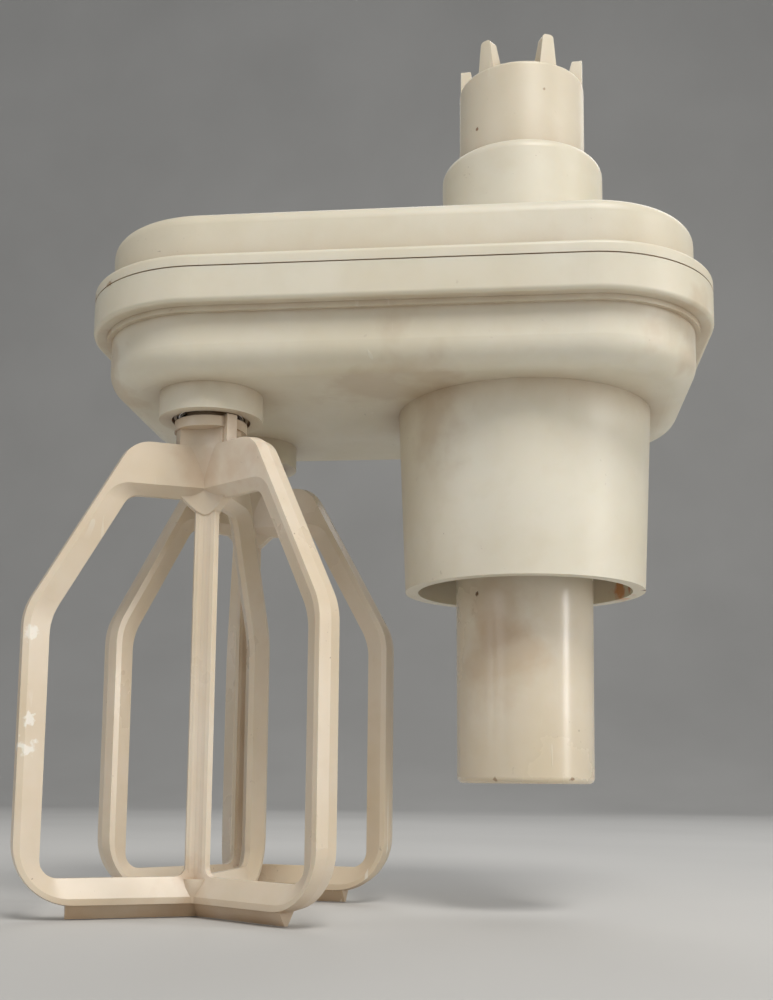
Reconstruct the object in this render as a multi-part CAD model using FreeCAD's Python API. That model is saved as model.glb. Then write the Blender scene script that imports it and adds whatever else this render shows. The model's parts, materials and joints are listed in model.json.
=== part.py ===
"""Twin-whisk gearbox attachment for a food processor.

Millimetres, +Z up.  The origin is the centre of the drive tube's open lower end, the whisks lie toward -X
and are side by side along Y, and the crown on top points to +Z.
"""

import FreeCAD, Part
import math
import os
from FreeCAD import Vector

# ---- overall heights -------------------------------------------------------------------------------------
FLOOR_Z = 76.4          # underside of the gearbox
BAND_Z = 88.5           # lower edge of the flange band
SEAM_Z = 95.3           # parting line between the two shells
STRIP_TOP_Z = 97.8      # upper edge of the flange band
ROOF_Z = 107.9          # flat top of the gearbox
BOSS_TOP_Z = 130.5      # top of the crown's bearing boss
CROWN_RIM_Z = 149.3     # rim the crown's teeth stand on
CROWN_TOOTH_H = 6.2     # height of a crown tooth
COLLAR_BOTTOM_Z = 39.0  # open lower end of the collar

# ---- gearbox outline -------------------------------------------------------------------------------------
LEFT_X = -87.7          # flange, whisk end
RIGHT_X = 37.3          # flange, drive end
HALF_Y = 39.1           # flange, half depth
CORNER_R = 25.7         # flange corners
WALL_INSET = 3.6        # how far the side walls stand in from the flange
WALL = 2.4              # shell wall
UNDER_FILLET = 5.0      # round edge of the underside
COVE_R = 2.0            # hollow under the flange band
ROOF_FILLET = 2.6       # round edge of the roof
SEAM_GAP = 0.25         # open line between the shells
FLANGE_FILLET = 0.8     # eased edges of the flange

# ---- drive side ------------------------------------------------------------------------------------------
TUBE_R = 13.86          # drive tube at its open end
TUBE_TOP_R = 14.2       # drive tube at its shoulder
TUBE_BORE_R = 9.5       # slides over the processor's spindle
TUBE_BORE_Z = 50.0      # depth of that bore
TUBE_SHOULDER_Z = 70.0  # where the tube steps down to its journal
JOURNAL_R = 10.8        # drive journal
COLLAR_R = 24.6         # collar, outside, lower end
COLLAR_TOP_R = 26.3     # collar, outside, at the gearbox
COLLAR_WALL = 2.6
NECK_BOTTOM_Z = 72.0    # bearing neck that hangs inside the collar
BUSH_WALL = 1.9         # all large bushes
NECK_WALL = 2.4         # bearing neck around the drive bush
COUPLING_R = 8.7        # seat of the coupling insert, above the bore
COUPLING_H = 16.0       # height of that seat
COUPLING_WALL = 1.6
COUPLING_RIBS = 6
CROWN_R = 13.4          # crown tube, above the boss
CROWN_JOURNAL_R = 13.7  # crown tube, in its bearing
CROWN_BORE_R = 10.0
CROWN_FLOOR_Z = 121.0   # floor of the crown's cup
CROWN_TEETH = 6
CROWN_TOOTH_W = 4.2     # crown tooth at its foot
CROWN_TOOTH_TOP_W = 2.3 # crown tooth at its top
CROWN_TOOTH_STEP = 0.2  # how far the teeth stand in from the tube
CROWN_RIM_FILLET = 0.8  # rounded rim
CROWN_PHASE = -65.0     # first crown tooth, degrees from +X
BOSS_R = 17.1           # crown's bearing boss
BOSS_FILLET = 2.2

# ---- whisk sockets ---------------------------------------------------------------------------------------
SPINDLE_X = -62.3
SPINDLE_HALF_Y = 19.0   # half the distance between the two whisks
SOCKET_R = 10.3         # socket boss, outside
SOCKET_BOTTOM_Z = 71.2
SPINDLE_R = 7.4         # hollow spindle that holds a whisk
SPINDLE_BOTTOM_Z = 71.7
SPIGOT_R = 5.0          # whisk's spigot in the spindle
SPIGOT_TOP_Z = 83.6
KEY_W = 1.8             # key on the spigot
KEY_H = 1.1
KEY_ANGLE = -45.0       # where the key is, degrees from +X
SMALL_SHAFT_R = 3.9     # upper end of the spindles
SMALL_BUSH_WALL = 1.4
RING_WIRE_R = 0.5       # spring ring in the spindle's mouth
RING_R = 6.15
RING_GAP = 40.0         # opening of the spring ring, degrees
RECESS_R = 6.8          # recess for the ring
RECESS_H = 2.8

# ---- gear train ------------------------------------------------------------------------------------------
MODULE = 1.0
PRESSURE = math.radians(20)
ADDENDUM = 0.8
DEDENDUM = 1.05
THINNING = 0.12         # taken off each tooth's width, for backlash
FLANK_STEPS = 3
LOW_Z = 80.0            # underside of the lowest gears
FACE_W = 6.0            # width of every gear
LEVEL_GAP = 1.5         # between one level of gears and the next
DRIVE_TEETH = 36
WIDE_TEETH = 42         # cluster, driven by the pinion
LOW_TEETH = 36          # cluster, drives the spindles
TOP_TEETH = 20          # cluster, drives the crown
CROWN_GEAR_TEETH = 58
SPINDLE_TEETH = 22
IDLER_TEETH = 16
AXLE_R = 2.5
IDLER_AXLE_R = 2.0
SLEEVE_R = 4.5          # sleeve that carries the cluster
CLIP_H = 0.8            # spring clips and washers

# ---- whisks ----------------------------------------------------------------------------------------------
WHISK_R = 34.6          # outer edge of the frames
WHISK_TOP_Z = 65.8      # top of the arms
WHISK_TOP_R = 15.5      # where the arm's top turns down
SHOULDER_Z = 31.4       # where the sloping bar meets the upright
WHISK_BOTTOM_Z = -23.2  # underside of the bottom bars
WEB_Z = 55.0            # lower edge of the web at the hub
BAR_W = 5.2             # bars, seen square on
BAR_T = 5.0             # bars, thickest
BAR_EDGE_T = 1.2        # bars, at the window
RIM_DRAFT = 0.4         # slope of the outer faces either side of the mould line
RIM_LAND = 1.2          # flat land beside the outer edge
BOTTOM_R = 12.0         # outer lower corner
WINDOW_R = 3.4          # window's lower corner
TOP_CORNER_R = 6.0
INNER_CORNER_R = 2.0    # window's corners beside the stem
STEM_R = 2.6            # to the rounded tips of the stem's three ribs
STEM_RIB_W = 1.9
STEM_CORE_R = 1.6
FOOT_R = 3.1            # where the bottom bars meet
WEB_EDGE_H = 2.0        # sloping lower edge of the web
VALLEY_R = 8.0          # hollows between the arms at the hub
VALLEY_IN = 4.0         # nearest these hollows come to the axis, at the neck
VALLEY_FOOT_IN = 1.8    # and below the web, where they run out on the stem
FIN_R = 24.5            # square end of the fins under the bottom bars
FIN_Z = -25.4           # lower edge of those fins
FIN_EDGE_W = 0.7
NECK_R = 6.8            # neck above the arms
DISC_R = 7.2
DISC_H = 2.0
DISC_TOP_Z = 70.6
WHISK_ARMS = 3
FRONT_PHASE = 54.0      # first arm, degrees from -Y toward +X
BACK_PHASE = -43.0

# ---- fits ------------------------------------------------------------------------------------------------
RUN_FIT = 0.05          # running journals, radial
PRESS_FIT = 0.02        # parts that are pressed or keyed together, radial
AIR = 0.4               # between things that must not touch
SCREW_R = 1.5
SCREW_HEAD_R = 2.5
SCREW_HEAD_H = 2.0
SCREW_LENGTH = 20.0
POST_R = 3.3
POST_BITE = 0.7         # how far the posts run into the wall beside them
SEAL_W = 1.6
SEAL_H = 1.6

os.makedirs("parts", exist_ok=True)


def cylinder(centre, z0, z1, radius):
    """Upright cylinder between two heights."""
    return Part.makeCylinder(radius, z1 - z0, Vector(centre[0], centre[1], z0))


def ring(centre, z0, z1, outer, inner):
    """Upright tube between two heights."""
    return cylinder(centre, z0, z1, outer).cut(cylinder(centre, z0, z1, inner))


def cone(centre, z0, z1, r0, r1):
    """Upright cone frustum."""
    return Part.makeCone(r0, r1, z1 - z0, Vector(centre[0], centre[1], z0))


def turned(centre, profile):
    """Solid of revolution from a closed (radius, height) outline."""
    points = [Vector(r, 0, z) for r, z in profile]
    face = Part.Face(Part.makePolygon(points + points[:1]))
    solid = face.revolve(Vector(0, 0, 0), Vector(0, 0, 1), 360)
    solid.translate(Vector(centre[0], centre[1], 0))
    return solid


def block(inset, z0, z1):
    """Gearbox outline, a given distance inside the flange, between two heights."""
    x0 = LEFT_X + inset
    y0 = -HALF_Y + inset
    length = RIGHT_X - inset - x0
    solid = Part.makeBox(length, -2 * y0, z1 - z0, Vector(x0, y0, z0))
    upright = [e for e in solid.Edges if abs(e.BoundBox.ZLength - (z1 - z0)) < PRESS_FIT]
    return solid.makeFillet(CORNER_R - inset, upright)


def edges_at(solid, z):
    """Edges of a solid that lie flat at one height."""
    return [e for e in solid.Edges if e.BoundBox.ZLength < PRESS_FIT and abs(e.BoundBox.ZMin - z) < PRESS_FIT]


def radial_box(centre, angle, r0, r1, width, z0, z1):
    """Box that runs outward from an axis at an angle in degrees from +X."""
    box = Part.makeBox(r1 - r0, width, z1 - z0, Vector(r0, -width / 2, z0))
    box.rotate(Vector(0, 0, 0), Vector(0, 0, 1), angle)
    box.translate(Vector(centre[0], centre[1], 0))
    return box


def keys(centre, count, r0, r1, width, z0, z1):
    """Evenly spaced radial keys."""
    found = [radial_box(centre, 360 * k / count, r0, r1, width, z0, z1) for k in range(count)]
    return found[0].multiFuse(found[1:]) if len(found) > 1 else found[0]


def polar(centre, radius, angle):
    """Point at a radius and an angle in radians around a centre."""
    return Vector(centre[0] + radius * math.cos(angle), centre[1] + radius * math.sin(angle), 0)


def involute(angle):
    return math.tan(angle) - angle


def gear(centre, teeth, phase, z0, bore):
    """Involute spur gear with one tooth centred on the phase angle, in radians."""
    pitch_r = MODULE * teeth / 2
    base_r = pitch_r * math.cos(PRESSURE)
    tip_r = pitch_r + ADDENDUM * MODULE
    root_r = pitch_r - DEDENDUM * MODULE
    start_r = max(base_r, root_r)
    half = (math.pi * MODULE / 2 - THINNING) / (2 * pitch_r) + involute(PRESSURE)
    flank = []
    for step in range(FLANK_STEPS + 1):
        r = start_r + (tip_r - start_r) * step / FLANK_STEPS
        flank.append((r, half - involute(math.acos(min(1, base_r / r)))))
    points = []
    for tooth in range(teeth):
        middle = phase + 2 * math.pi * tooth / teeth
        points.append(polar(centre, root_r, middle - half))
        points += [polar(centre, r, middle - turn) for r, turn in flank]
        points += [polar(centre, r, middle + turn) for r, turn in reversed(flank)]
        points.append(polar(centre, root_r, middle + half))
    outline = Part.makePolygon(points + points[:1])
    blank = Part.Face(outline).extrude(Vector(0, 0, FACE_W))
    blank.translate(Vector(0, 0, z0))
    return blank.cut(cylinder(centre, z0, z0 + FACE_W, bore))


def meshed(first, first_teeth, first_phase, second, second_teeth):
    """Phase that puts the second gear's teeth in the gaps of the first."""
    line = math.atan2(second[1] - first[1], second[0] - first[0])
    turn = (line - first_phase) * first_teeth / (2 * math.pi)
    return line + math.pi + (turn - 0.5) * 2 * math.pi / second_teeth


def reach(teeth_a, teeth_b):
    """Centre distance of two meshing gears."""
    return MODULE * (teeth_a + teeth_b) / 2


def tip(teeth):
    """Tip radius of a gear."""
    return MODULE * (teeth / 2 + ADDENDUM)


def triangle(a, b, from_a, from_b, side):
    """Point at two given distances from a and b, on the side of a-b where side is +1 or -1."""
    gap = math.dist(a, b)
    along = (from_a ** 2 - from_b ** 2 + gap ** 2) / (2 * gap)
    across = side * math.sqrt(from_a ** 2 - along ** 2)
    ux = (b[0] - a[0]) / gap
    uy = (b[1] - a[1]) / gap
    return (a[0] + along * ux - across * uy, a[1] + along * uy + across * ux)


# ---- where things turn -----------------------------------------------------------------------------------
DRIVE = (0.0, 0.0)
FRONT = (SPINDLE_X, -SPINDLE_HALF_Y)
BACK = (SPINDLE_X, SPINDLE_HALF_Y)
CLUSTER = triangle(DRIVE, BACK, reach(DRIVE_TEETH, WIDE_TEETH), reach(LOW_TEETH, SPINDLE_TEETH), 1)
IDLER = triangle(CLUSTER, FRONT, reach(LOW_TEETH, IDLER_TEETH), reach(IDLER_TEETH, SPINDLE_TEETH), 1)

INSIDE = WALL_INSET + WALL
FLOOR_TOP = FLOOR_Z + WALL
ROOF_UNDER = ROOF_Z - WALL
LOW_TOP = LOW_Z + FACE_W
MID_Z = LOW_TOP + LEVEL_GAP
MID_TOP = MID_Z + FACE_W
HIGH_Z = MID_TOP + LEVEL_GAP
HIGH_TOP = HIGH_Z + FACE_W
NECK_TOP_Z = LOW_TOP - AIR
BUSH_R = JOURNAL_R + RUN_FIT + BUSH_WALL
NECK_OUT_R = BUSH_R + PRESS_FIT + NECK_WALL
CROWN_BUSH_R = CROWN_JOURNAL_R + RUN_FIT + BUSH_WALL * 2 / 3
SPINDLE_BUSH_R = SPINDLE_R + RUN_FIT + SMALL_BUSH_WALL
MOUTH_R = SPINDLE_R + AIR
SMALL_BUSH_R = SMALL_SHAFT_R + RUN_FIT + SMALL_BUSH_WALL
SPINDLE_CAP_Z = MID_Z - 2 * AIR
SMALL_SHAFT_TOP = ROOF_UNDER - 2 * AIR
BUSH_BOTTOM_Z = SOCKET_BOTTOM_Z + WALL - AIR
AXLE_BOTTOM_Z = FLOOR_Z + CLIP_H
AXLE_TOP_Z = ROOF_UNDER + WALL / 2

# ---- posts and screws, clear of every gear ----------------------------------------------------------------
POST_Y = HALF_Y - INSIDE - POST_R + POST_BITE
POST_REACH = tip(CROWN_GEAR_TEETH) + POST_R + 2 * AIR
MIDDLE_POST_X = -math.sqrt(max(0, POST_REACH ** 2 - POST_Y ** 2))
CORNER_REACH = (CORNER_R - INSIDE - POST_R + POST_BITE) / math.sqrt(2)
CORNER_POST_X = RIGHT_X - CORNER_R + CORNER_REACH
CORNER_POST_Y = HALF_Y - CORNER_R + CORNER_REACH
POSTS = [
    (LEFT_X + INSIDE + POST_R - POST_BITE, 0.0),
    (MIDDLE_POST_X - POST_R, POST_Y),
    (MIDDLE_POST_X - POST_R, -POST_Y),
    (CORNER_POST_X, CORNER_POST_Y),
    (CORNER_POST_X, -CORNER_POST_Y),
]


def seal_track(grow):
    """Closed track of the shell seal, its section grown by a clearance."""
    middle = INSIDE / 2
    z0 = SEAM_Z - SEAL_H / 2 - grow
    z1 = SEAM_Z + SEAL_H / 2 + grow
    outside = block(middle - SEAL_W / 2 - grow, z0, z1)
    return outside.cut(block(middle + SEAL_W / 2 + grow, z0, z1))


def lower_shell():
    """Lower shell with the collar, the drive neck and the two whisk sockets."""
    body = block(WALL_INSET, FLOOR_Z, SEAM_Z - SEAM_GAP / 2)
    body = body.makeFillet(UNDER_FILLET, edges_at(body, FLOOR_Z))
    band = block(0, BAND_Z, SEAM_Z - SEAM_GAP / 2)
    band = band.makeFillet(FLANGE_FILLET, edges_at(band, BAND_Z))
    cove = block(WALL_INSET - COVE_R / 2, BAND_Z - COVE_R / 2, BAND_Z)
    collar = cone(DRIVE, COLLAR_BOTTOM_Z, FLOOR_Z + WALL, COLLAR_R, COLLAR_TOP_R)
    body = body.multiFuse([band, cove, collar] + [cylinder(c, SOCKET_BOTTOM_Z, FLOOR_TOP, SOCKET_R)
                                                  for c in (FRONT, BACK)])
    body = body.cut(block(INSIDE, FLOOR_TOP, SEAM_Z))
    hollow = cone(DRIVE, COLLAR_BOTTOM_Z, FLOOR_Z, COLLAR_R - COLLAR_WALL, COLLAR_TOP_R - COLLAR_WALL)
    body = body.cut(hollow)
    solid = [cylinder(DRIVE, NECK_BOTTOM_Z, NECK_TOP_Z, NECK_OUT_R)]
    solid += [cylinder(c, FLOOR_Z, LOW_Z - AIR, SPINDLE_BUSH_R + WALL) for c in (FRONT, BACK)]
    solid.append(cylinder(CLUSTER, FLOOR_Z, LOW_Z - CLIP_H - AIR, 2 * AXLE_R))
    solid.append(cylinder(IDLER, FLOOR_Z, LOW_Z - CLIP_H - AIR, 2 * IDLER_AXLE_R))
    solid += [cylinder(p, FLOOR_TOP, SEAM_Z - SEAM_GAP / 2, POST_R) for p in POSTS]
    body = body.multiFuse(solid)
    cuts = [cylinder(DRIVE, NECK_BOTTOM_Z, NECK_TOP_Z, BUSH_R + PRESS_FIT)]
    for c in (FRONT, BACK):
        cuts.append(cylinder(c, SOCKET_BOTTOM_Z, LOW_Z, MOUTH_R))
        cuts.append(cylinder(c, BUSH_BOTTOM_Z, LOW_Z, SPINDLE_BUSH_R + PRESS_FIT))
    cuts.append(cylinder(CLUSTER, AXLE_BOTTOM_Z, LOW_Z, AXLE_R + PRESS_FIT))
    cuts.append(cylinder(IDLER, AXLE_BOTTOM_Z, LOW_Z, IDLER_AXLE_R + PRESS_FIT))
    cuts += [cylinder(p, ROOF_Z - SCREW_LENGTH - AIR, SEAM_Z, SCREW_R) for p in POSTS]
    cuts.append(seal_track(PRESS_FIT))
    return body.cut(cuts[0].multiFuse(cuts[1:]))


def upper_shell():
    """Upper shell with the crown's boss and the spindles' upper bearings."""
    body = block(WALL_INSET, SEAM_Z + SEAM_GAP / 2, ROOF_Z)
    body = body.makeFillet(ROOF_FILLET, edges_at(body, ROOF_Z))
    strip = block(0, SEAM_Z + SEAM_GAP / 2, STRIP_TOP_Z)
    strip = strip.makeFillet(FLANGE_FILLET, edges_at(strip, STRIP_TOP_Z))
    boss = cylinder(DRIVE, ROOF_UNDER, BOSS_TOP_Z, BOSS_R)
    boss = boss.makeFillet(BOSS_FILLET, edges_at(boss, BOSS_TOP_Z))
    body = body.multiFuse([strip, boss])
    body = body.cut(block(INSIDE, SEAM_Z, ROOF_UNDER))
    solid = [cylinder(c, HIGH_Z + AIR, ROOF_UNDER + WALL / 2, SMALL_BUSH_R + WALL / 2) for c in (FRONT, BACK)]
    solid.append(cylinder(CLUSTER, HIGH_TOP + CLIP_H + 2 * AIR, ROOF_UNDER + WALL / 2, 2 * AXLE_R))
    solid += [cylinder(p, SEAM_Z + SEAM_GAP / 2, ROOF_UNDER + WALL / 2, POST_R) for p in POSTS]
    lip = block(INSIDE + SEAM_GAP, SEAM_Z - SEAL_W, SEAM_Z + SEAL_W)
    lip = lip.cut(block(INSIDE + WALL / 2, SEAM_Z - SEAL_W, SEAM_Z + SEAL_W))
    rim = block(WALL_INSET, SEAM_Z + SEAM_GAP / 2, SEAM_Z + SEAL_W)
    rim = rim.cut(block(INSIDE + WALL / 2, SEAM_Z, SEAM_Z + SEAL_W))
    clear = [cylinder(p, SEAM_Z - SEAL_W, SEAM_Z + SEAM_GAP / 2, POST_R + AIR) for p in POSTS]
    solid += [lip.cut(clear[0].multiFuse(clear[1:])), rim]
    body = body.multiFuse(solid)
    cuts = [cylinder(DRIVE, SEAM_Z, BOSS_TOP_Z, CROWN_JOURNAL_R + AIR)]
    cuts.append(cylinder(DRIVE, SEAM_Z, BOSS_TOP_Z - WALL, CROWN_BUSH_R + PRESS_FIT))
    for c in (FRONT, BACK):
        cuts.append(cylinder(c, HIGH_Z, SMALL_SHAFT_TOP + AIR, SMALL_BUSH_R + PRESS_FIT))
    cuts.append(cylinder(CLUSTER, HIGH_TOP, AXLE_TOP_Z, AXLE_R + PRESS_FIT))
    for p in POSTS:
        cuts.append(cylinder(p, SEAM_Z, ROOF_Z, SCREW_R + AIR))
        cuts.append(cylinder(p, ROOF_Z - SCREW_HEAD_H - AIR, ROOF_Z, SCREW_HEAD_R + AIR))
    cuts.append(seal_track(PRESS_FIT))
    return body.cut(cuts[0].multiFuse(cuts[1:]))


def shell_screw(p):
    """Pan-head screw with a cross recess."""
    head_z = ROOF_Z - SCREW_HEAD_H - AIR
    head = cylinder(p, head_z, head_z + SCREW_HEAD_H, SCREW_HEAD_R)
    head = head.makeFillet(SCREW_HEAD_H / 4, edges_at(head, head_z + SCREW_HEAD_H))
    shank = cylinder(p, ROOF_Z - SCREW_LENGTH, head_z, SCREW_R - PRESS_FIT)
    slot_z = head_z + SCREW_HEAD_H / 2
    slots = [radial_box(p, turn, -SCREW_R, SCREW_R, SCREW_R / 2, slot_z, ROOF_Z) for turn in (0, 90)]
    return head.fuse(shank).cut(slots[0].fuse(slots[1]))


def drive_tube():
    """Long tube with a journal at its upper end."""
    outside = cone(DRIVE, 0, TUBE_SHOULDER_Z, TUBE_R, TUBE_TOP_R)
    outside = outside.makeFillet(UNDER_FILLET / 4, edges_at(outside, 0))
    outside = outside.fuse(cylinder(DRIVE, TUBE_SHOULDER_Z, HIGH_Z - AIR, JOURNAL_R))
    outside = outside.fuse(keys(DRIVE, 3, JOURNAL_R - 1, JOURNAL_R + KEY_H, KEY_W, MID_Z - AIR, MID_TOP))
    bore = cylinder(DRIVE, 0, TUBE_BORE_Z, TUBE_BORE_R)
    seat = cylinder(DRIVE, TUBE_BORE_Z, TUBE_BORE_Z + COUPLING_H, COUPLING_R)
    upper = cylinder(DRIVE, TUBE_BORE_Z + COUPLING_H + WALL, HIGH_Z, JOURNAL_R - WALL)
    groove = ring(DRIVE, MID_TOP, MID_TOP + CLIP_H / 2, JOURNAL_R + KEY_H, JOURNAL_R - CLIP_H)
    return outside.cut(bore.multiFuse([seat, upper, groove]))


def coupling_insert():
    """Ribbed sleeve above the tube's bore, which the end of the processor's spindle turns."""
    outer = COUPLING_R - PRESS_FIT
    z0 = TUBE_BORE_Z + AIR
    z1 = TUBE_BORE_Z + COUPLING_H
    sleeve = ring(DRIVE, z0, z1, outer, outer - COUPLING_WALL)
    ribs = keys(DRIVE, COUPLING_RIBS, outer - 2 * COUPLING_WALL, outer - COUPLING_WALL / 2, KEY_W, z0 + AIR, z1)
    return sleeve.fuse(ribs)


def open_ring(centre, z0, height, outer, inner):
    """Spring clip with a gap."""
    clip = ring(centre, z0, z0 + height, outer, inner)
    return clip.cut(radial_box(centre, 90, inner / 2, outer + 1, KEY_W, z0, z0 + height))


def keyed_gear(centre, teeth, phase, z0, bore):
    """Gear held to its shaft by three keys."""
    slots = keys(centre, 3, bore - 1, bore + KEY_H, KEY_W + 2 * PRESS_FIT, z0, z0 + FACE_W)
    return gear(centre, teeth, phase, z0, bore).cut(slots)


def tooth_section(inner_r, width, z):
    """Level section of a crown tooth, from an inner radius to beyond the tube."""
    corners = [
        Vector(inner_r, -width / 2, z),
        Vector(inner_r, width / 2, z),
        Vector(CROWN_R + 1, width / 2, z),
        Vector(CROWN_R + 1, -width / 2, z),
    ]
    return Part.makePolygon(corners + corners[:1])


def crown_tube():
    """Tube that the bowl's lid holds still by the teeth on its rim."""
    step_z = BOSS_TOP_Z + AIR
    upper = cylinder(DRIVE, step_z, CROWN_RIM_Z, CROWN_R)
    upper = upper.makeFillet(CROWN_RIM_FILLET, edges_at(upper, CROWN_RIM_Z))
    body = cylinder(DRIVE, HIGH_Z, step_z, CROWN_JOURNAL_R).fuse(upper)
    body = body.fuse(keys(DRIVE, 3, CROWN_JOURNAL_R - 1, CROWN_JOURNAL_R + KEY_H, KEY_W, HIGH_Z, HIGH_TOP))
    low_z = CROWN_RIM_Z - WALL
    high_z = CROWN_RIM_Z + CROWN_TOOTH_H
    teeth = []
    for k in range(CROWN_TEETH):
        foot = tooth_section(CROWN_BORE_R - 1, CROWN_TOOTH_W, low_z)
        top = tooth_section(CROWN_R - CROWN_TOOTH_TOP_W, CROWN_TOOTH_TOP_W, high_z)
        tooth = Part.makeLoft([foot, top], True, True)
        long_edges = [e for e in edges_at(tooth, high_z) if e.BoundBox.XLength > 1]
        tooth = tooth.makeFillet(CROWN_TOOTH_TOP_W / 3, long_edges)
        tooth.rotate(Vector(0, 0, 0), Vector(0, 0, 1), CROWN_PHASE + 360 * k / CROWN_TEETH)
        teeth.append(tooth)
    envelope = cylinder(DRIVE, low_z, high_z, CROWN_R - CROWN_TOOTH_STEP)
    body = body.multiFuse([t.common(envelope) for t in teeth])
    cup = cylinder(DRIVE, CROWN_FLOOR_Z, CROWN_RIM_Z + CROWN_TOOTH_H, CROWN_BORE_R)
    below = cylinder(DRIVE, HIGH_Z, CROWN_FLOOR_Z - WALL, CROWN_BORE_R + WALL / 3)
    return body.cut(cup.fuse(below)).removeSplitter()


def spindle(centre):
    """Hollow spindle with a keyed socket for a whisk and a thin upper shaft."""
    body = cylinder(centre, SPINDLE_BOTTOM_Z, SPINDLE_CAP_Z, SPINDLE_R)
    body = body.fuse(cylinder(centre, SPINDLE_CAP_Z, SMALL_SHAFT_TOP, SMALL_SHAFT_R))
    body = body.fuse(keys(centre, 3, SPINDLE_R - 1, SPINDLE_R + KEY_H, KEY_W, LOW_Z, LOW_TOP))
    bore = cylinder(centre, SPINDLE_BOTTOM_Z, SPIGOT_TOP_Z + AIR, SPIGOT_R + RUN_FIT)
    recess = cylinder(centre, SPINDLE_BOTTOM_Z, SPINDLE_BOTTOM_Z + RECESS_H, RECESS_R)
    slot_r = SPIGOT_R + KEY_H + AIR
    slot = radial_box(centre, KEY_ANGLE, 0, slot_r, KEY_W + AIR, SPINDLE_BOTTOM_Z, SPIGOT_TOP_Z + AIR)
    return body.cut(bore.multiFuse([recess, slot]))


def retaining_ring(centre):
    """Spring wire that snaps behind the bead on a whisk's spigot, open where the key passes."""
    wire = Part.makeTorus(RING_R, RING_WIRE_R, Vector(centre[0], centre[1], SPINDLE_BOTTOM_Z + RING_WIRE_R),
                          Vector(0, 0, 1), 0, 360, 360 - RING_GAP)
    wire.rotate(Vector(centre[0], centre[1], 0), Vector(0, 0, 1), KEY_ANGLE + RING_GAP / 2)
    return wire


def rounded(points, radii):
    """Closed wire through (radius, height) corners, each rounded by its own radius."""
    count = len(points)
    corners = [Vector(p[0], 0, p[1]) for p in points]
    edges = []
    ends = []
    for k in range(count):
        before = (corners[k - 1] - corners[k]).normalize()
        after = (corners[(k + 1) % count] - corners[k]).normalize()
        half = before.getAngle(after) / 2
        trim = radii[k] / math.tan(half)
        a = corners[k] + before * trim
        b = corners[k] + after * trim
        bisector = (before + after).normalize()
        mid = corners[k] + bisector * (radii[k] / math.sin(half) - radii[k])
        ends.append((a, mid, b))
    for k in range(count):
        a, mid, b = ends[k]
        edges.append(Part.Arc(a, mid, b).toShape())
        edges.append(Part.makeLine(b, ends[(k + 1) % count][0]))
    return Part.Wire(edges)


def arm_outline(inset, top_z, y, inner_r, inner_corner):
    """Outline of one whisk frame in the plane at y, moved in from its outer edge."""
    slope = math.atan2(WHISK_R - WHISK_TOP_R, WHISK_TOP_Z - SHOULDER_Z)
    shoulder_r = WHISK_R - inset
    shoulder_z = SHOULDER_Z - inset * math.tan(slope / 2)
    top_r = shoulder_r - (top_z - shoulder_z) * math.tan(slope)
    points = [
        (inner_r, WHISK_BOTTOM_Z + inset),
        (shoulder_r, WHISK_BOTTOM_Z + inset),
        (shoulder_r, shoulder_z),
        (top_r, top_z),
        (inner_r, top_z),
    ]
    lower = max(BOTTOM_R - inset * (BOTTOM_R - WINDOW_R) / BAR_W, WINDOW_R)
    upper = TOP_CORNER_R * (1 - inset / (2 * BAR_W))
    wire = rounded(points, [inner_corner, lower, BOTTOM_R, upper, inner_corner])
    wire.translate(Vector(0, y, 0))
    return wire


def whisk_arm():
    """One closed frame, thick along its outer edge and thin at its window."""
    halves = []
    land = RIM_LAND + RIM_DRAFT
    for side in (1, -1):
        outer_y = side * BAR_T / 2
        edge_y = side * BAR_EDGE_T / 2
        ridge = arm_outline(0, WHISK_TOP_Z, 0, STEM_CORE_R / 2, AIR)
        shoulder = arm_outline(RIM_DRAFT, WHISK_TOP_Z - RIM_DRAFT, outer_y, STEM_CORE_R / 2, AIR)
        low = arm_outline(BAR_W, WEB_Z, edge_y, STEM_R, INNER_CORNER_R)
        high = arm_outline(land, WEB_Z + WEB_EDGE_H, outer_y, -STEM_R, INNER_CORNER_R)
        half = Part.makeLoft([ridge, shoulder], True, True)
        halves.append(half.cut(Part.makeLoft([low, high], True, True)))
    opening = arm_outline(BAR_W, WEB_Z, -BAR_T, STEM_R, INNER_CORNER_R)
    window = Part.Face(opening).extrude(Vector(0, 2 * BAR_T, 0))
    frame = halves[0].fuse(halves[1]).cut(window)
    fin_top = WHISK_BOTTOM_Z + 2 * RIM_DRAFT
    fin_points = [
        Vector(0, -BAR_T / 2 + RIM_DRAFT, fin_top),
        Vector(0, BAR_T / 2 - RIM_DRAFT, fin_top),
        Vector(0, FIN_EDGE_W / 2, FIN_Z),
        Vector(0, -FIN_EDGE_W / 2, FIN_Z),
    ]
    fin = Part.Face(Part.makePolygon(fin_points + fin_points[:1])).extrude(Vector(FIN_R, 0, 0))
    return frame.fuse(fin)


def whisk_stem(turns):
    """Slim stem with a rounded rib under every arm."""
    z0 = WHISK_BOTTOM_Z + BAR_T / 2
    stem = cylinder(DRIVE, z0, WHISK_TOP_Z, STEM_CORE_R)
    for turn in turns:
        spot = polar(DRIVE, STEM_R - STEM_RIB_W / 2, math.radians(turn))
        stem = stem.fuse(radial_box(DRIVE, turn, 0, STEM_R - STEM_RIB_W / 2, STEM_RIB_W, z0, WHISK_TOP_Z))
        stem = stem.fuse(cylinder(spot, z0, WHISK_TOP_Z, STEM_RIB_W / 2))
    return stem


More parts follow.
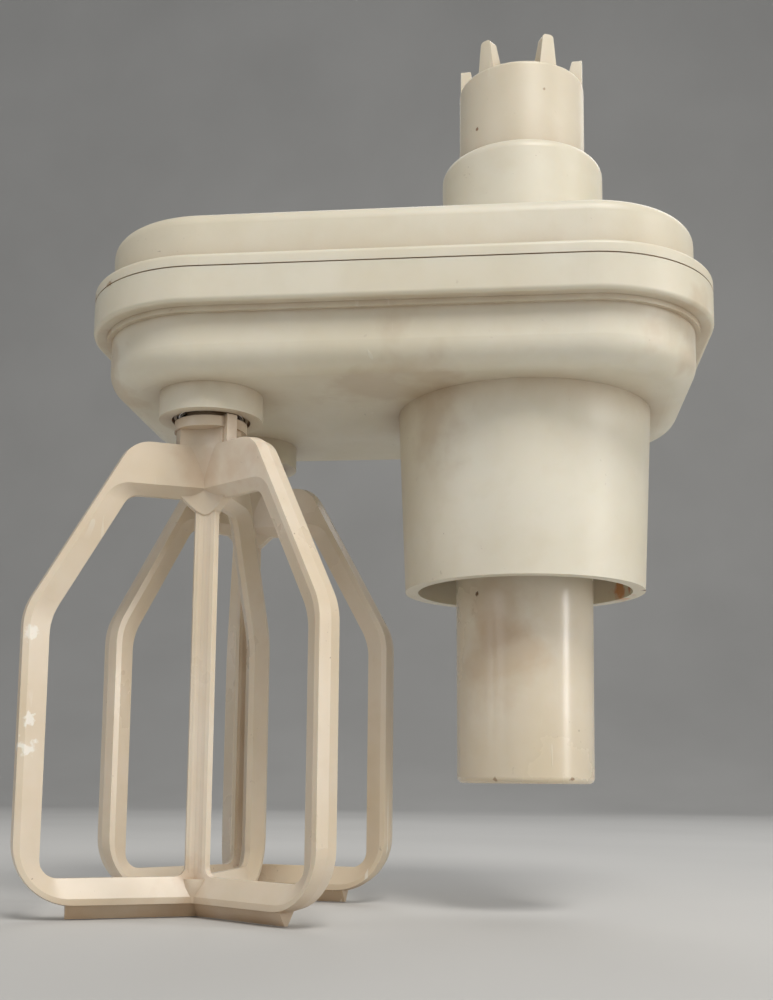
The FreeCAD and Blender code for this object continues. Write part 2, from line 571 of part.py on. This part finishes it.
def whisk_hub(turns):
    """Hub and neck, hollowed between the arms so that their faces flow into each other."""
    low_z = WEB_Z - INNER_CORNER_R - BAR_EDGE_T
    high_z = WHISK_TOP_Z - RIM_DRAFT
    neck_z = DISC_TOP_Z - DISC_H
    hub = cylinder(DRIVE, WEB_Z + BAR_EDGE_T, neck_z, NECK_R)
    hub = hub.fuse(cone(DRIVE, low_z, WEB_Z + BAR_EDGE_T, STEM_CORE_R, NECK_R))
    lean = math.atan2(VALLEY_IN - VALLEY_FOOT_IN, high_z - low_z)
    for turn in turns:
        hollow = cylinder((VALLEY_IN + VALLEY_R, 0), 0, 2 * (high_z - low_z), VALLEY_R)
        hollow.translate(Vector(0, 0, -(high_z - low_z)))
        hollow.rotate(Vector(VALLEY_IN, 0, 0), Vector(0, 1, 0), math.degrees(lean))
        straight = cylinder((VALLEY_IN + VALLEY_R, 0), -RIM_DRAFT, neck_z - high_z + RIM_DRAFT, VALLEY_R)
        hollow = hollow.fuse(straight)
        hollow.rotate(Vector(0, 0, 0), Vector(0, 0, 1), turn + 180 / WHISK_ARMS)
        hollow.translate(Vector(0, 0, high_z))
        hub = hub.cut(hollow)
    return hub


def whisk(centre, phase):
    """One-piece whisk: three frames on a ribbed stem, and a keyed spigot on top."""
    turns = [phase - 90 + 360 * k / WHISK_ARMS for k in range(WHISK_ARMS)]
    arms = []
    for turn in turns:
        arm = whisk_arm()
        arm.rotate(Vector(0, 0, 0), Vector(0, 0, 1), turn)
        arms.append(arm)
    foot = cylinder(DRIVE, WHISK_BOTTOM_Z + RIM_DRAFT, WHISK_BOTTOM_Z + BAR_W - RIM_DRAFT, FOOT_R)
    cap = cylinder(DRIVE, WHISK_TOP_Z - BAR_T / 2, WHISK_TOP_Z - 2 * RIM_DRAFT, FOOT_R)
    disc = cylinder(DRIVE, DISC_TOP_Z - DISC_H, DISC_TOP_Z, DISC_R)
    rib_w = KEY_W + AIR
    rib = radial_box(DRIVE, KEY_ANGLE, 0, DISC_R + 2 * AIR, rib_w, WHISK_TOP_Z - RIM_DRAFT, DISC_TOP_Z + AIR)
    spigot = cylinder(DRIVE, DISC_TOP_Z, SPIGOT_TOP_Z, SPIGOT_R)
    spigot = spigot.makeFillet(SPIGOT_R / 4, edges_at(spigot, SPIGOT_TOP_Z))
    bead_z = SPINDLE_BOTTOM_Z + RECESS_H - 3 * RING_WIRE_R
    bead = turned(DRIVE, [
        (SPIGOT_R - AIR, bead_z),
        (RING_R - RING_WIRE_R - RUN_FIT, bead_z + RING_WIRE_R),
        (SPIGOT_R - AIR, bead_z + 2 * RING_WIRE_R),
    ])
    key_top = SPIGOT_TOP_Z - SPIGOT_R / 4
    key = radial_box(DRIVE, KEY_ANGLE, 0, SPIGOT_R + KEY_H, KEY_W, SPINDLE_BOTTOM_Z + RECESS_H, key_top)
    body = whisk_stem(turns)
    for piece in [foot, cap, whisk_hub(turns), disc, rib, spigot, bead, key] + arms:
        body = body.fuse(piece)
    body.translate(Vector(centre[0], centre[1], 0))
    return body


def save(name, shapes):
    """Write one node, a single solid or a group of identical ones."""
    solids = [s for shape in shapes for s in shape.Solids]
    shape = solids[0] if len(solids) == 1 else Part.makeCompound(solids)
    shape.exportStep("parts/" + name + ".step")


# ---- gearbox ----------------------------------------------------------------------------------------------
save("lower_shell", [lower_shell()])
save("upper_shell", [upper_shell()])
save("shell_seal", [seal_track(0)])
save("shell_screws", [shell_screw(p) for p in POSTS])
save("drive_bush", [ring(DRIVE, NECK_BOTTOM_Z + WALL, NECK_TOP_Z, BUSH_R, JOURNAL_R + RUN_FIT)])
save("drive_seal", [ring(DRIVE, NECK_BOTTOM_Z, NECK_BOTTOM_Z + WALL - AIR, BUSH_R, JOURNAL_R + RUN_FIT)])
save("crown_bush", [ring(DRIVE, ROOF_Z, BOSS_TOP_Z - WALL, CROWN_BUSH_R, CROWN_JOURNAL_R + RUN_FIT)])
save("crown_washer", [ring(DRIVE, HIGH_TOP + AIR, HIGH_TOP + AIR + CLIP_H, BOSS_R, CROWN_JOURNAL_R + AIR)])
save("spindle_bushes", [ring(c, BUSH_BOTTOM_Z, LOW_Z - AIR, SPINDLE_BUSH_R, SPINDLE_R + RUN_FIT)
                        for c in (FRONT, BACK)])
save("spindle_top_bushes", [ring(c, HIGH_Z + AIR, SMALL_SHAFT_TOP, SMALL_BUSH_R, SMALL_SHAFT_R + RUN_FIT)
                            for c in (FRONT, BACK)])
save("cluster_axle", [cylinder(CLUSTER, AXLE_BOTTOM_Z, AXLE_TOP_Z - AIR, AXLE_R)])
save("idler_axle", [cylinder(IDLER, AXLE_BOTTOM_Z, LOW_TOP + CLIP_H + AIR, IDLER_AXLE_R)])
save("cluster_washers", [ring(CLUSTER, z, z + CLIP_H, SLEEVE_R, AXLE_R + PRESS_FIT)
                         for z in (LOW_Z - CLIP_H - AIR, HIGH_TOP + AIR)])
save("idler_clip", [open_ring(IDLER, LOW_TOP + AIR, CLIP_H, 2 * IDLER_AXLE_R, IDLER_AXLE_R + PRESS_FIT)])

# ---- drive ------------------------------------------------------------------------------------------------
save("drive_tube", [drive_tube()])
save("drive_pinion", [keyed_gear(DRIVE, DRIVE_TEETH, 0, MID_Z, JOURNAL_R + PRESS_FIT)])
save("coupling_insert", [coupling_insert()])
save("drive_clip", [open_ring(DRIVE, MID_TOP + PRESS_FIT, CLIP_H / 2 - 2 * PRESS_FIT,
                              JOURNAL_R + KEY_H, JOURNAL_R - CLIP_H / 2)])

# ---- cluster ----------------------------------------------------------------------------------------------
wide_phase = meshed(DRIVE, DRIVE_TEETH, 0, CLUSTER, WIDE_TEETH)
sleeve = ring(CLUSTER, LOW_Z - PRESS_FIT, HIGH_TOP, SLEEVE_R, AXLE_R + RUN_FIT)
sleeve_keys = keys(CLUSTER, 3, SLEEVE_R - 1, SLEEVE_R + KEY_H, KEY_W, LOW_Z, HIGH_TOP)
save("cluster_sleeve", [sleeve.fuse(sleeve_keys)])
save("cluster_low_gear", [keyed_gear(CLUSTER, LOW_TEETH, 0, LOW_Z, SLEEVE_R + PRESS_FIT)])
save("cluster_wide_gear", [keyed_gear(CLUSTER, WIDE_TEETH, wide_phase, MID_Z, SLEEVE_R + PRESS_FIT)])
save("cluster_top_gear", [keyed_gear(CLUSTER, TOP_TEETH, 0, HIGH_Z, SLEEVE_R + PRESS_FIT)])

# ---- crown ------------------------------------------------------------------------------------------------
crown_phase = meshed(CLUSTER, TOP_TEETH, 0, DRIVE, CROWN_GEAR_TEETH)
save("crown_tube", [crown_tube()])
save("crown_gear", [keyed_gear(DRIVE, CROWN_GEAR_TEETH, crown_phase, HIGH_Z, CROWN_JOURNAL_R + PRESS_FIT)])

# ---- idler, spindles and whisks ---------------------------------------------------------------------------
idler_phase = meshed(CLUSTER, LOW_TEETH, 0, IDLER, IDLER_TEETH)
front_phase = meshed(IDLER, IDLER_TEETH, idler_phase, FRONT, SPINDLE_TEETH)
back_phase = meshed(CLUSTER, LOW_TEETH, 0, BACK, SPINDLE_TEETH)
save("idler_gear", [gear(IDLER, IDLER_TEETH, idler_phase, LOW_Z, IDLER_AXLE_R + RUN_FIT)])
for name, centre, phase, whisk_phase in (
    ("front", FRONT, front_phase, FRONT_PHASE),
    ("back", BACK, back_phase, BACK_PHASE),
):
    save("spindle_" + name, [spindle(centre)])
    save("spindle_gear_" + name, [keyed_gear(centre, SPINDLE_TEETH, phase, LOW_Z, SPINDLE_R + PRESS_FIT)])
    save("retaining_ring_" + name, [retaining_ring(centre)])
    save("whisk_" + name, [whisk(centre, whisk_phase)])
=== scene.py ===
"""Looks, light and camera for the twin-whisk gearbox attachment, in metres in the part's own frame."""

import json
import math

import bpy
from mathutils import Matrix, Vector


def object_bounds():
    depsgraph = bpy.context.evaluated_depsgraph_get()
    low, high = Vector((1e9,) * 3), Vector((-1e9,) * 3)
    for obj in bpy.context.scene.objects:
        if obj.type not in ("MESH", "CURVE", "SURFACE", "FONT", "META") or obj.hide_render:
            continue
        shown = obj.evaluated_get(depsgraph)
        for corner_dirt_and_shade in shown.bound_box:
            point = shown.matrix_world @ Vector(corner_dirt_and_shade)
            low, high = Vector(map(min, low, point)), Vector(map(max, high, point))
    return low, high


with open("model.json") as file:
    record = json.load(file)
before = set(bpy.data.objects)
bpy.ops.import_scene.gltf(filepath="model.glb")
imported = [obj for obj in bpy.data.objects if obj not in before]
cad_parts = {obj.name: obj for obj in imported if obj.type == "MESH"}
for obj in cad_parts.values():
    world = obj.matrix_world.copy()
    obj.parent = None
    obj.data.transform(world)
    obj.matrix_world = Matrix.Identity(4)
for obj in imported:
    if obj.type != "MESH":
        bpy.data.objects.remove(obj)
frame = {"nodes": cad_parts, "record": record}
cad_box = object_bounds()

# ---- camera: level with the drive tube's open end, close in front, tilted up a little ----------------------
EYE = Vector((-0.0022, -0.2516, 0.0))
YAW = math.radians(6.0)
TILT = math.radians(7.57)
ROLL = math.radians(-0.5)
LENS = 44.02
SHIFT_UP = 0.12
NEAREST = 0.01


def add_camera():
    forward = Vector((-math.sin(YAW) * math.cos(TILT), math.cos(YAW) * math.cos(TILT), math.sin(TILT)))
    right = Vector((math.cos(YAW), math.sin(YAW), 0))
    up = right.cross(forward)
    turn = Matrix.Rotation(ROLL, 3, forward)
    right, up = turn @ right, turn @ up
    data = bpy.data.cameras.new("camera")
    data.lens = LENS
    data.shift_y = SHIFT_UP
    data.clip_start = NEAREST
    camera = bpy.data.objects.new("camera", data)
    axes = Matrix((right, up, -forward)).transposed().to_4x4()
    camera.matrix_world = Matrix.Translation(EYE) @ axes
    bpy.context.scene.collection.objects.link(camera)
    bpy.context.scene.camera = camera


# ---- node helpers -----------------------------------------------------------------------------------------
MM_PER_METRE = 1000
CORNER_REACH = 0.007
CORNER_SAMPLES = 6


class Maker:
    """A material being built: adds nodes and joins sockets."""

    def __init__(self, name):
        self.material = bpy.data.materials.new(name)
        self.material.use_nodes = True
        self.nodes = self.material.node_tree.nodes
        self.links = self.material.node_tree.links
        self.nodes.clear()
        self.out = self.nodes.new("ShaderNodeOutputMaterial")
        self.shader = self.nodes.new("ShaderNodeBsdfPrincipled")
        self.links.new(self.shader.outputs[0], self.out.inputs[0])
        self.where = self.nodes.new("ShaderNodeTexCoord").outputs["Object"]

    def put(self, node, key, value):
        """Set an input to a number or join it to a socket."""
        if isinstance(value, bpy.types.NodeSocket):
            self.links.new(value, node.inputs[key])
        else:
            node.inputs[key].default_value = value

    def noise(self, scale, detail=3.0, rough=0.5, stretch=None, distortion=0.0):
        node = self.nodes.new("ShaderNodeTexNoise")
        where = self.where
        if stretch:
            mapping = self.nodes.new("ShaderNodeMapping")
            mapping.inputs["Scale"].default_value = stretch
            self.links.new(where, mapping.inputs["Vector"])
            where = mapping.outputs[0]
        self.links.new(where, node.inputs["Vector"])
        node.inputs["Scale"].default_value = scale
        node.inputs["Detail"].default_value = detail
        node.inputs["Roughness"].default_value = rough
        node.inputs["Distortion"].default_value = distortion
        return node.outputs["Fac"]

    def ramp(self, value, low, high, out_low=0.0, out_high=1.0):
        node = self.nodes.new("ShaderNodeMapRange")
        node.clamp = True
        self.put(node, "Value", value)
        self.put(node, "From Min", low)
        self.put(node, "From Max", high)
        self.put(node, "To Min", out_low)
        self.put(node, "To Max", out_high)
        return node.outputs[0]

    def mix(self, amount, a, b):
        """Colour a that turns into colour b as the amount goes from 0 to 1."""
        node = self.nodes.new("ShaderNodeMix")
        node.data_type = "RGBA"
        self.put(node, 0, amount)
        self.put(node, 6, a)
        self.put(node, 7, b)
        return node.outputs[2]

    def math(self, kind, a, b=0.0):
        node = self.nodes.new("ShaderNodeMath")
        node.operation = kind
        self.put(node, 0, a)
        self.put(node, 1, b)
        return node.outputs[0]

    def spot(self, place, radius, wobble, strength):
        """Soft uneven patch around a point given in millimetres."""
        gap = self.nodes.new("ShaderNodeVectorMath")
        gap.operation = "DISTANCE"
        self.links.new(self.where, gap.inputs[0])
        gap.inputs[1].default_value = [v / MM_PER_METRE for v in place]
        size = radius / MM_PER_METRE
        uneven = self.ramp(self.noise(900 / radius, 4), 0.3, 0.7, -1.0, 1.0)
        ragged = self.math("MULTIPLY", uneven, wobble * size)
        edge = self.math("ADD", gap.outputs["Value"], ragged)
        return self.ramp(edge, size * 0.6, size * 1.15, strength, 0.0)

    def bump(self, height, distance, strength=1.0, normal=None):
        node = self.nodes.new("ShaderNodeBump")
        self.put(node, "Height", height)
        node.inputs["Distance"].default_value = distance
        node.inputs["Strength"].default_value = strength
        if normal:
            self.links.new(normal, node.inputs["Normal"])
        return node.outputs[0]


def srgb(r, g, b):
    """Linear colour from the familiar 0-255 one."""
    def one(v):
        v /= 255
        return v / 12.92 if v <= 0.04045 else ((v + 0.055) / 1.055) ** 2.4
    return (one(r), one(g), one(b), 1)


# Brown for corners and recesses: painted shade and dirt.
DIRT_AND_SHADE = srgb(150, 112, 70)
SPECK = srgb(104, 72, 44)
SCRATCH = srgb(240, 237, 226)

# Stains and marks, with patches of painted shade and painted highlight: place in millimetres, radius, wobble
# of the edge, strength and colour.
MARKS_AND_PAINTED_LIGHT = {
    "shell": [
        ((20.0, 9.0, 41.2), 2.8, 0.6, 0.8, srgb(206, 132, 56)),
        ((21.6, 3.5, 40.2), 1.4, 0.6, 0.75, srgb(190, 108, 42)),
        ((24.4, -3.0, 39.2), 0.9, 0.4, 0.9, srgb(96, 54, 26)),
        ((-84.6, -24.0, 95.4), 1.0, 0.7, 0.85, srgb(128, 94, 60)),
        ((-80.0, -31.5, 95.4), 0.8, 0.7, 0.7, srgb(150, 116, 78)),
        ((-12, -38.6, 90.4), 0.5, 0.3, 0.5, srgb(150, 126, 92)),
        # Wide soft brown patches on the lower shell: painted shade.
        ((-24, -22, 77), 12.0, 0.7, 0.26, srgb(160, 122, 80)),
        ((-84, -20, 80), 8.0, 0.7, 0.3, srgb(176, 142, 100)),
        ((33, -30, 82), 9.0, 0.7, 0.26, srgb(176, 142, 100)),
    ],
    "crown": [
        ((-9.4, -9.6, 136.5), 0.45, 0.5, 0.85, srgb(126, 84, 48)),
        ((4.6, -12.6, 143.0), 0.3, 0.3, 0.6, srgb(140, 104, 70)),
    ],
    "tube": [
        ((-9.5, -10.4, 37.4), 0.45, 0.4, 0.95, srgb(76, 52, 32)),
        ((9, -10.6, 1.0), 0.5, 0.8, 0.7, srgb(134, 100, 68)),
        ((-6, -12.5, 0.5), 0.5, 0.8, 0.6, srgb(134, 100, 68)),
        # Wide soft brown patches on the tube's front, left of centre: painted shade.
        ((-5, -13, 24), 9.0, 0.5, 0.3, srgb(190, 152, 104)),
        ((-5, -13, 34), 7.0, 0.5, 0.25, srgb(178, 138, 92)),
    ],
    "whisk": [
        # Wide soft brown patches on the front whisk's arm and web: painted shade.
        ((-62, -19, -22), 7.0, 0.7, 0.3, srgb(180, 142, 98)),
        ((-62, -19, 61), 7.0, 0.6, 0.28, srgb(186, 148, 112)),
        ((-55, -25, 60), 6.5, 0.6, 0.3, srgb(192, 154, 120)),
        ((-49, -29.5, -22.8), 0.45, 0.5, 0.9, srgb(104, 70, 42)),
        ((-60.6, 16.9, -11), 1.1, 0.2, 0.5, srgb(176, 128, 92)),
        # Whitish patches on the left arm's outer edge: painted highlight and scratch marks.
        ((-90.8, -34.2, 6), 1.5, 0.9, 0.7, srgb(246, 244, 236)),
        ((-90.8, -34.2, 11), 1.1, 0.9, 0.7, srgb(246, 244, 236)),
        ((-91.4, -34.4, 27), 1.3, 0.9, 0.6, srgb(246, 244, 236)),
    ],
}


def plastic(name, base, deep, gloss, specks=0.0, scratches=0.0, marks_and_painted_light=()):
    """Aged cream moulding: uneven tone, painted shade and dirt in the corners, fine orange peel and a little
    wear.
    """
    m = Maker(name)
    tone = m.mix(m.ramp(m.noise(24, 5, 0.55), 0.36, 0.66), base, deep)
    tone = m.mix(m.ramp(m.noise(210, 4), 0.5, 0.75, 0.0, 0.35), tone, deep)
    # Ambient occlusion tints corners and recesses brown: painted shade mixed with dirt.
    shade = m.nodes.new("ShaderNodeAmbientOcclusion")
    shade.inputs["Distance"].default_value = CORNER_REACH
    shade.samples = CORNER_SAMPLES
    grime_and_shade_patches = m.ramp(m.noise(90, 4), 0.3, 0.7, 0.55, 1.0)
    corner_dirt_and_shade = m.math("MULTIPLY", m.ramp(shade.outputs["AO"], 0.15, 0.97, 0.85, 0.0), grime_and_shade_patches)
    tone = m.mix(corner_dirt_and_shade, tone, DIRT_AND_SHADE)
    if specks:
        dots = m.ramp(m.noise(620, 2, 0.6, distortion=1.5), 0.72, 0.75)
        dots = m.math("MULTIPLY", dots, m.ramp(m.noise(42, 3), 0.52, 0.64))
        tone = m.mix(m.math("MULTIPLY", dots, specks), tone, SPECK)
    # Stains and marks, with patches of painted shade and painted highlight.
    for place, radius, wobble, strength, colour in marks_and_painted_light:
        tone = m.mix(m.spot(place, radius, wobble, strength), tone, colour)
    rough = m.ramp(m.noise(55, 5), 0.3, 0.7, gloss - 0.05, gloss + 0.09)
    normal = m.bump(m.noise(1300, 2), 0.00002, 0.3)
    normal = m.bump(m.noise(40, 2), 0.0004, 0.2, normal)
    if scratches:
        lines = m.noise(420, 2, stretch=(1, 1, 0.07), distortion=0.8)
        lines = m.ramp(lines, 0.69, 0.71)
        lines = m.math("MULTIPLY", lines, m.ramp(m.noise(23, 2), 0.56, 0.66))
        tone = m.mix(m.math("MULTIPLY", lines, scratches), tone, SCRATCH)
        normal = m.bump(lines, 0.00008, 0.5, normal)
    m.put(m.shader, "Base Color", tone)
    m.put(m.shader, "Roughness", rough)
    m.put(m.shader, "Normal", normal)
    m.shader.inputs["IOR"].default_value = 1.5
    m.shader.inputs["Subsurface Weight"].default_value = 0.15
    m.shader.inputs["Subsurface Radius"].default_value = (0.004, 0.0026, 0.0015)
    m.shader.inputs["Subsurface Scale"].default_value = 1.0
    return m.material


def metal(name, colour, rough):
    m = Maker(name)
    tone = m.mix(m.ramp(m.noise(300, 3), 0.3, 0.7), colour, tuple(c * 0.6 for c in colour[:3]) + (1,))
    m.put(m.shader, "Base Color", tone)
    m.put(m.shader, "Roughness", m.ramp(m.noise(700, 3), 0.3, 0.7, rough - 0.08, rough + 0.1))
    m.shader.inputs["Metallic"].default_value = 1.0
    m.put(m.shader, "Normal", m.bump(m.noise(2500, 2, stretch=(1, 1, 8)), 0.00001, 0.4))
    return m.material


def plain(name, colour, rough):
    m = Maker(name)
    tone = m.mix(m.ramp(m.noise(120, 3), 0.3, 0.7), colour, tuple(c * 0.7 for c in colour[:3]) + (1,))
    m.put(m.shader, "Base Color", tone)
    m.put(m.shader, "Roughness", m.ramp(m.noise(400, 3), 0.3, 0.7, rough - 0.08, rough + 0.08))
    m.put(m.shader, "Normal", m.bump(m.noise(1500, 2), 0.00002, 0.4))
    return m.material


LOOKS = {
    "shell": plastic("ivory_satin", srgb(226, 220, 203), srgb(214, 205, 182),
                     0.40, 0.5, 0.25, MARKS_AND_PAINTED_LIGHT["shell"]),
    "tube": plastic("cream_gloss", srgb(224, 214, 196), srgb(214, 200, 174),
                     0.22, 0.7, 0.2, MARKS_AND_PAINTED_LIGHT["tube"]),
    "whisk": plastic("cream_whisk", srgb(226, 213, 194), srgb(214, 197, 170),
                     0.30, 0.5, 0.7, MARKS_AND_PAINTED_LIGHT["whisk"]),
    "spindle": plastic("cream_satin", srgb(206, 196, 170), srgb(192, 180, 150), 0.4),
    "insert": plastic("cream_insert", srgb(196, 182, 150), srgb(182, 166, 134), 0.45),
    "gear": plain("white_gear", srgb(228, 226, 216), 0.4),
    "bearing": plain("dark_bush", srgb(96, 90, 82), 0.45),
    "seal": plain("brown_rubber", srgb(150, 134, 108), 0.7),
    "steel": metal("turned_steel", (0.55, 0.55, 0.54, 1), 0.3),
    "spring": metal("spring_wire", (0.62, 0.60, 0.56, 1), 0.22),
}
CROWN_LOOK = plastic("ivory_crown", srgb(224, 216, 198), srgb(214, 203, 180), 0.38, 0.3, 0.15,
                     MARKS_AND_PAINTED_LIGHT["crown"])
for part in frame["record"]["subparts"]:
    node = frame["nodes"][part["node"]]
    node.data.materials.clear()
    node.data.materials.append(CROWN_LOOK if part["node"] == "crown_tube" else LOOKS[part["material_slot"]])

# ---- floor, backdrop and light ----------------------------------------------------------------------------
low = cad_box[0]
FLOOR_GAP = 0.0002
FLOOR_Z = low[2] - FLOOR_GAP
FLOOR_FRONT = -1.2
FLOOR_BACK = 0.9
FLOOR_HALF_WIDTH = 2.5
BEND_R = 0.5
BEND_STEPS = 16
WALL_TOP = 3.0
FLOOR_PALE = srgb(206, 205, 202)
FLOOR_DEEP = srgb(198, 197, 194)
FLOOR_ROUGHNESS = 0.8
SKY_COLOUR = (0.95, 0.97, 1.0, 1)
SKY_STRENGTH = 0.23
LIGHT_AIM = Vector((-0.03, 0, 0.06))


def add_sweep():
    """Pale floor that curves up into a wall behind."""
    profile = [(FLOOR_FRONT, 0.0), (FLOOR_BACK, 0.0)]
    for k in range(1, BEND_STEPS + 1):
        a = math.pi / 2 * k / BEND_STEPS
        profile.append((FLOOR_BACK + BEND_R * math.sin(a), BEND_R - BEND_R * math.cos(a)))
    profile.append((FLOOR_BACK + BEND_R, WALL_TOP))
    verts = [(x, y, FLOOR_Z + z) for x in (-FLOOR_HALF_WIDTH, FLOOR_HALF_WIDTH) for y, z in profile]
    count = len(profile)
    faces = [(k, k + count, k + count + 1, k + 1) for k in range(count - 1)]
    mesh = bpy.data.meshes.new("sweep")
    mesh.from_pydata(verts, [], faces)
    for polygon in mesh.polygons:
        polygon.use_smooth = True
    sweep = bpy.data.objects.new("sweep", mesh)
    bpy.context.scene.collection.objects.link(sweep)
    m = Maker("pale_floor")
    tone = m.mix(m.ramp(m.noise(6, 3), 0.3, 0.7), FLOOR_PALE, FLOOR_DEEP)
    m.put(m.shader, "Base Color", tone)
    m.shader.inputs["Roughness"].default_value = FLOOR_ROUGHNESS
    mesh.materials.append(m.material)


def add_light(name, place, size, power, colour=(1, 1, 1)):
    """Soft rectangular light that points at the middle of the part."""
    data = bpy.data.lights.new(name, "AREA")
    data.shape = "RECTANGLE"
    data.size, data.size_y = size
    data.energy = power
    data.color = colour
    light = bpy.data.objects.new(name, data)
    light.location = place
    light.rotation_euler = (LIGHT_AIM - Vector(place)).to_track_quat("-Z", "Y").to_euler()
    bpy.context.scene.collection.objects.link(light)


def add_world():
    world = bpy.data.worlds.new("studio")
    world.use_nodes = True
    back = world.node_tree.nodes["Background"]
    back.inputs["Color"].default_value = SKY_COLOUR
    back.inputs["Strength"].default_value = SKY_STRENGTH
    bpy.context.scene.world = world


add_camera()
add_sweep()
add_world()
add_light("key", (0.22, -0.55, 0.78), (0.35, 0.35), 5.4, (1, 0.975, 0.94))
add_light("side", (0.70, -0.24, 0.16), (0.10, 0.60), 2.4, (1, 0.98, 0.96))
add_light("fill", (-0.7, -0.6, 0.30), (0.5, 0.6), 1.2, (0.98, 0.98, 1.0))
add_light("rim", (0.1, 0.6, 0.7), (0.8, 0.4), 2.2)
bpy.context.scene.view_settings.view_transform = "Standard"
